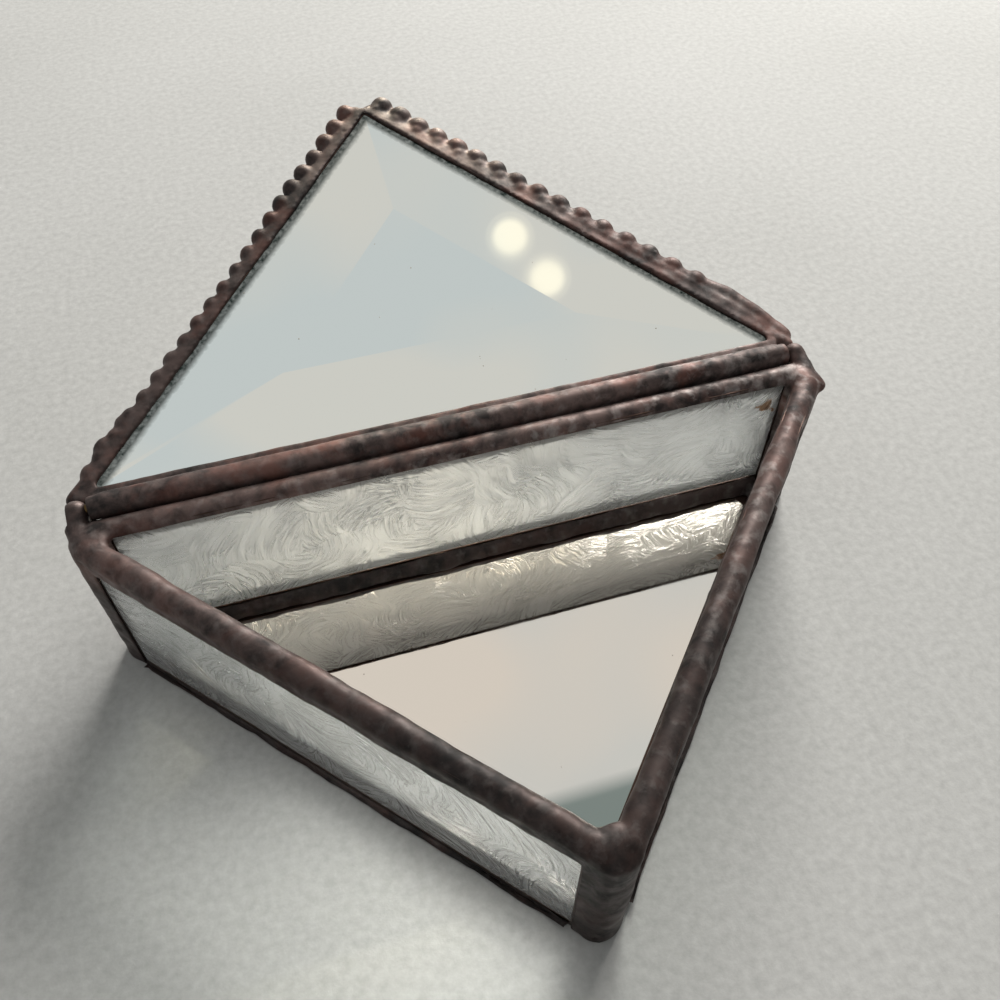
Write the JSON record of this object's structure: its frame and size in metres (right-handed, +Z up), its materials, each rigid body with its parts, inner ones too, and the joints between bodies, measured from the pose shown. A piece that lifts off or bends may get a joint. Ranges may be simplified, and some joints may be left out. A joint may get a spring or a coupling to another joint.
{
  "type": "glass keepsake box",
  "caption": "Three-sided keepsake box of textured glass in copper foil and dark solder, with a mirror floor and a bevelled mirror lid on a tube and rod hinge.",
  "frame": {"origin": "on the table, midway along the outer face of the hinge wall's glass", "axes": "+X along the hinge, +Y out of the hinge wall, the way the open lid leans back, +Z up from the table"},
  "size_m": [0.1244, 0.1424, 0.0506],
  "materials": {
    "textured_glass": "textured, clear",
    "mirror_glass": "polished, clear",
    "silvering": "silvered and painted on the back",
    "copper_foil": "rolled foil",
    "brass": "drawn",
    "patinated_solder": "dark brown patina, waxed"
  },
  "bodies": {
    "box": {"base_mirror_glass": "mirror_glass", "base_silvering": "silvering", "base_foil": "copper_foil", "hinge_wall_glass": "textured_glass", "left_wall_glass": "textured_glass", "right_wall_glass": "textured_glass", "hinge_wall_foil": "copper_foil", "left_wall_foil": "copper_foil", "right_wall_foil": "copper_foil", "rim_solder_hinge": "patinated_solder", "rim_solder_left": "patinated_solder", "rim_solder_right": "patinated_solder", "foot_solder_hinge": "patinated_solder", "foot_solder_left": "patinated_solder", "foot_solder_right": "patinated_solder", "inner_seam_hinge": "patinated_solder", "inner_seam_left": "patinated_solder", "inner_seam_right": "patinated_solder", "corner_solder_left": "patinated_solder", "corner_solder_right": "patinated_solder", "corner_solder_apex": "patinated_solder", "hinge_pin": "brass", "hinge_lug_left": "patinated_solder", "hinge_lug_right": "patinated_solder"},
    "lid": {"hinge_tube": "brass", "lid_mirror_glass": "mirror_glass", "lid_silvering": "silvering", "lid_foil": "copper_foil", "lid_solder_hinge": "patinated_solder", "lid_solder_left": "patinated_solder", "lid_solder_right": "patinated_solder", "lid_corner_left": "patinated_solder", "lid_corner_right": "patinated_solder", "lid_corner_apex": "patinated_solder", "ball_chain_left": "patinated_solder", "ball_chain_right": "patinated_solder"}
  },
  "joints": [
    {"name": "lid_hinge", "type": "hinge", "parent": "box", "child": "lid", "pos_m": [0, 0.00259, 0.0313], "axis": [1, 0, 0], "range_deg": [0, 163]}
  ]
}
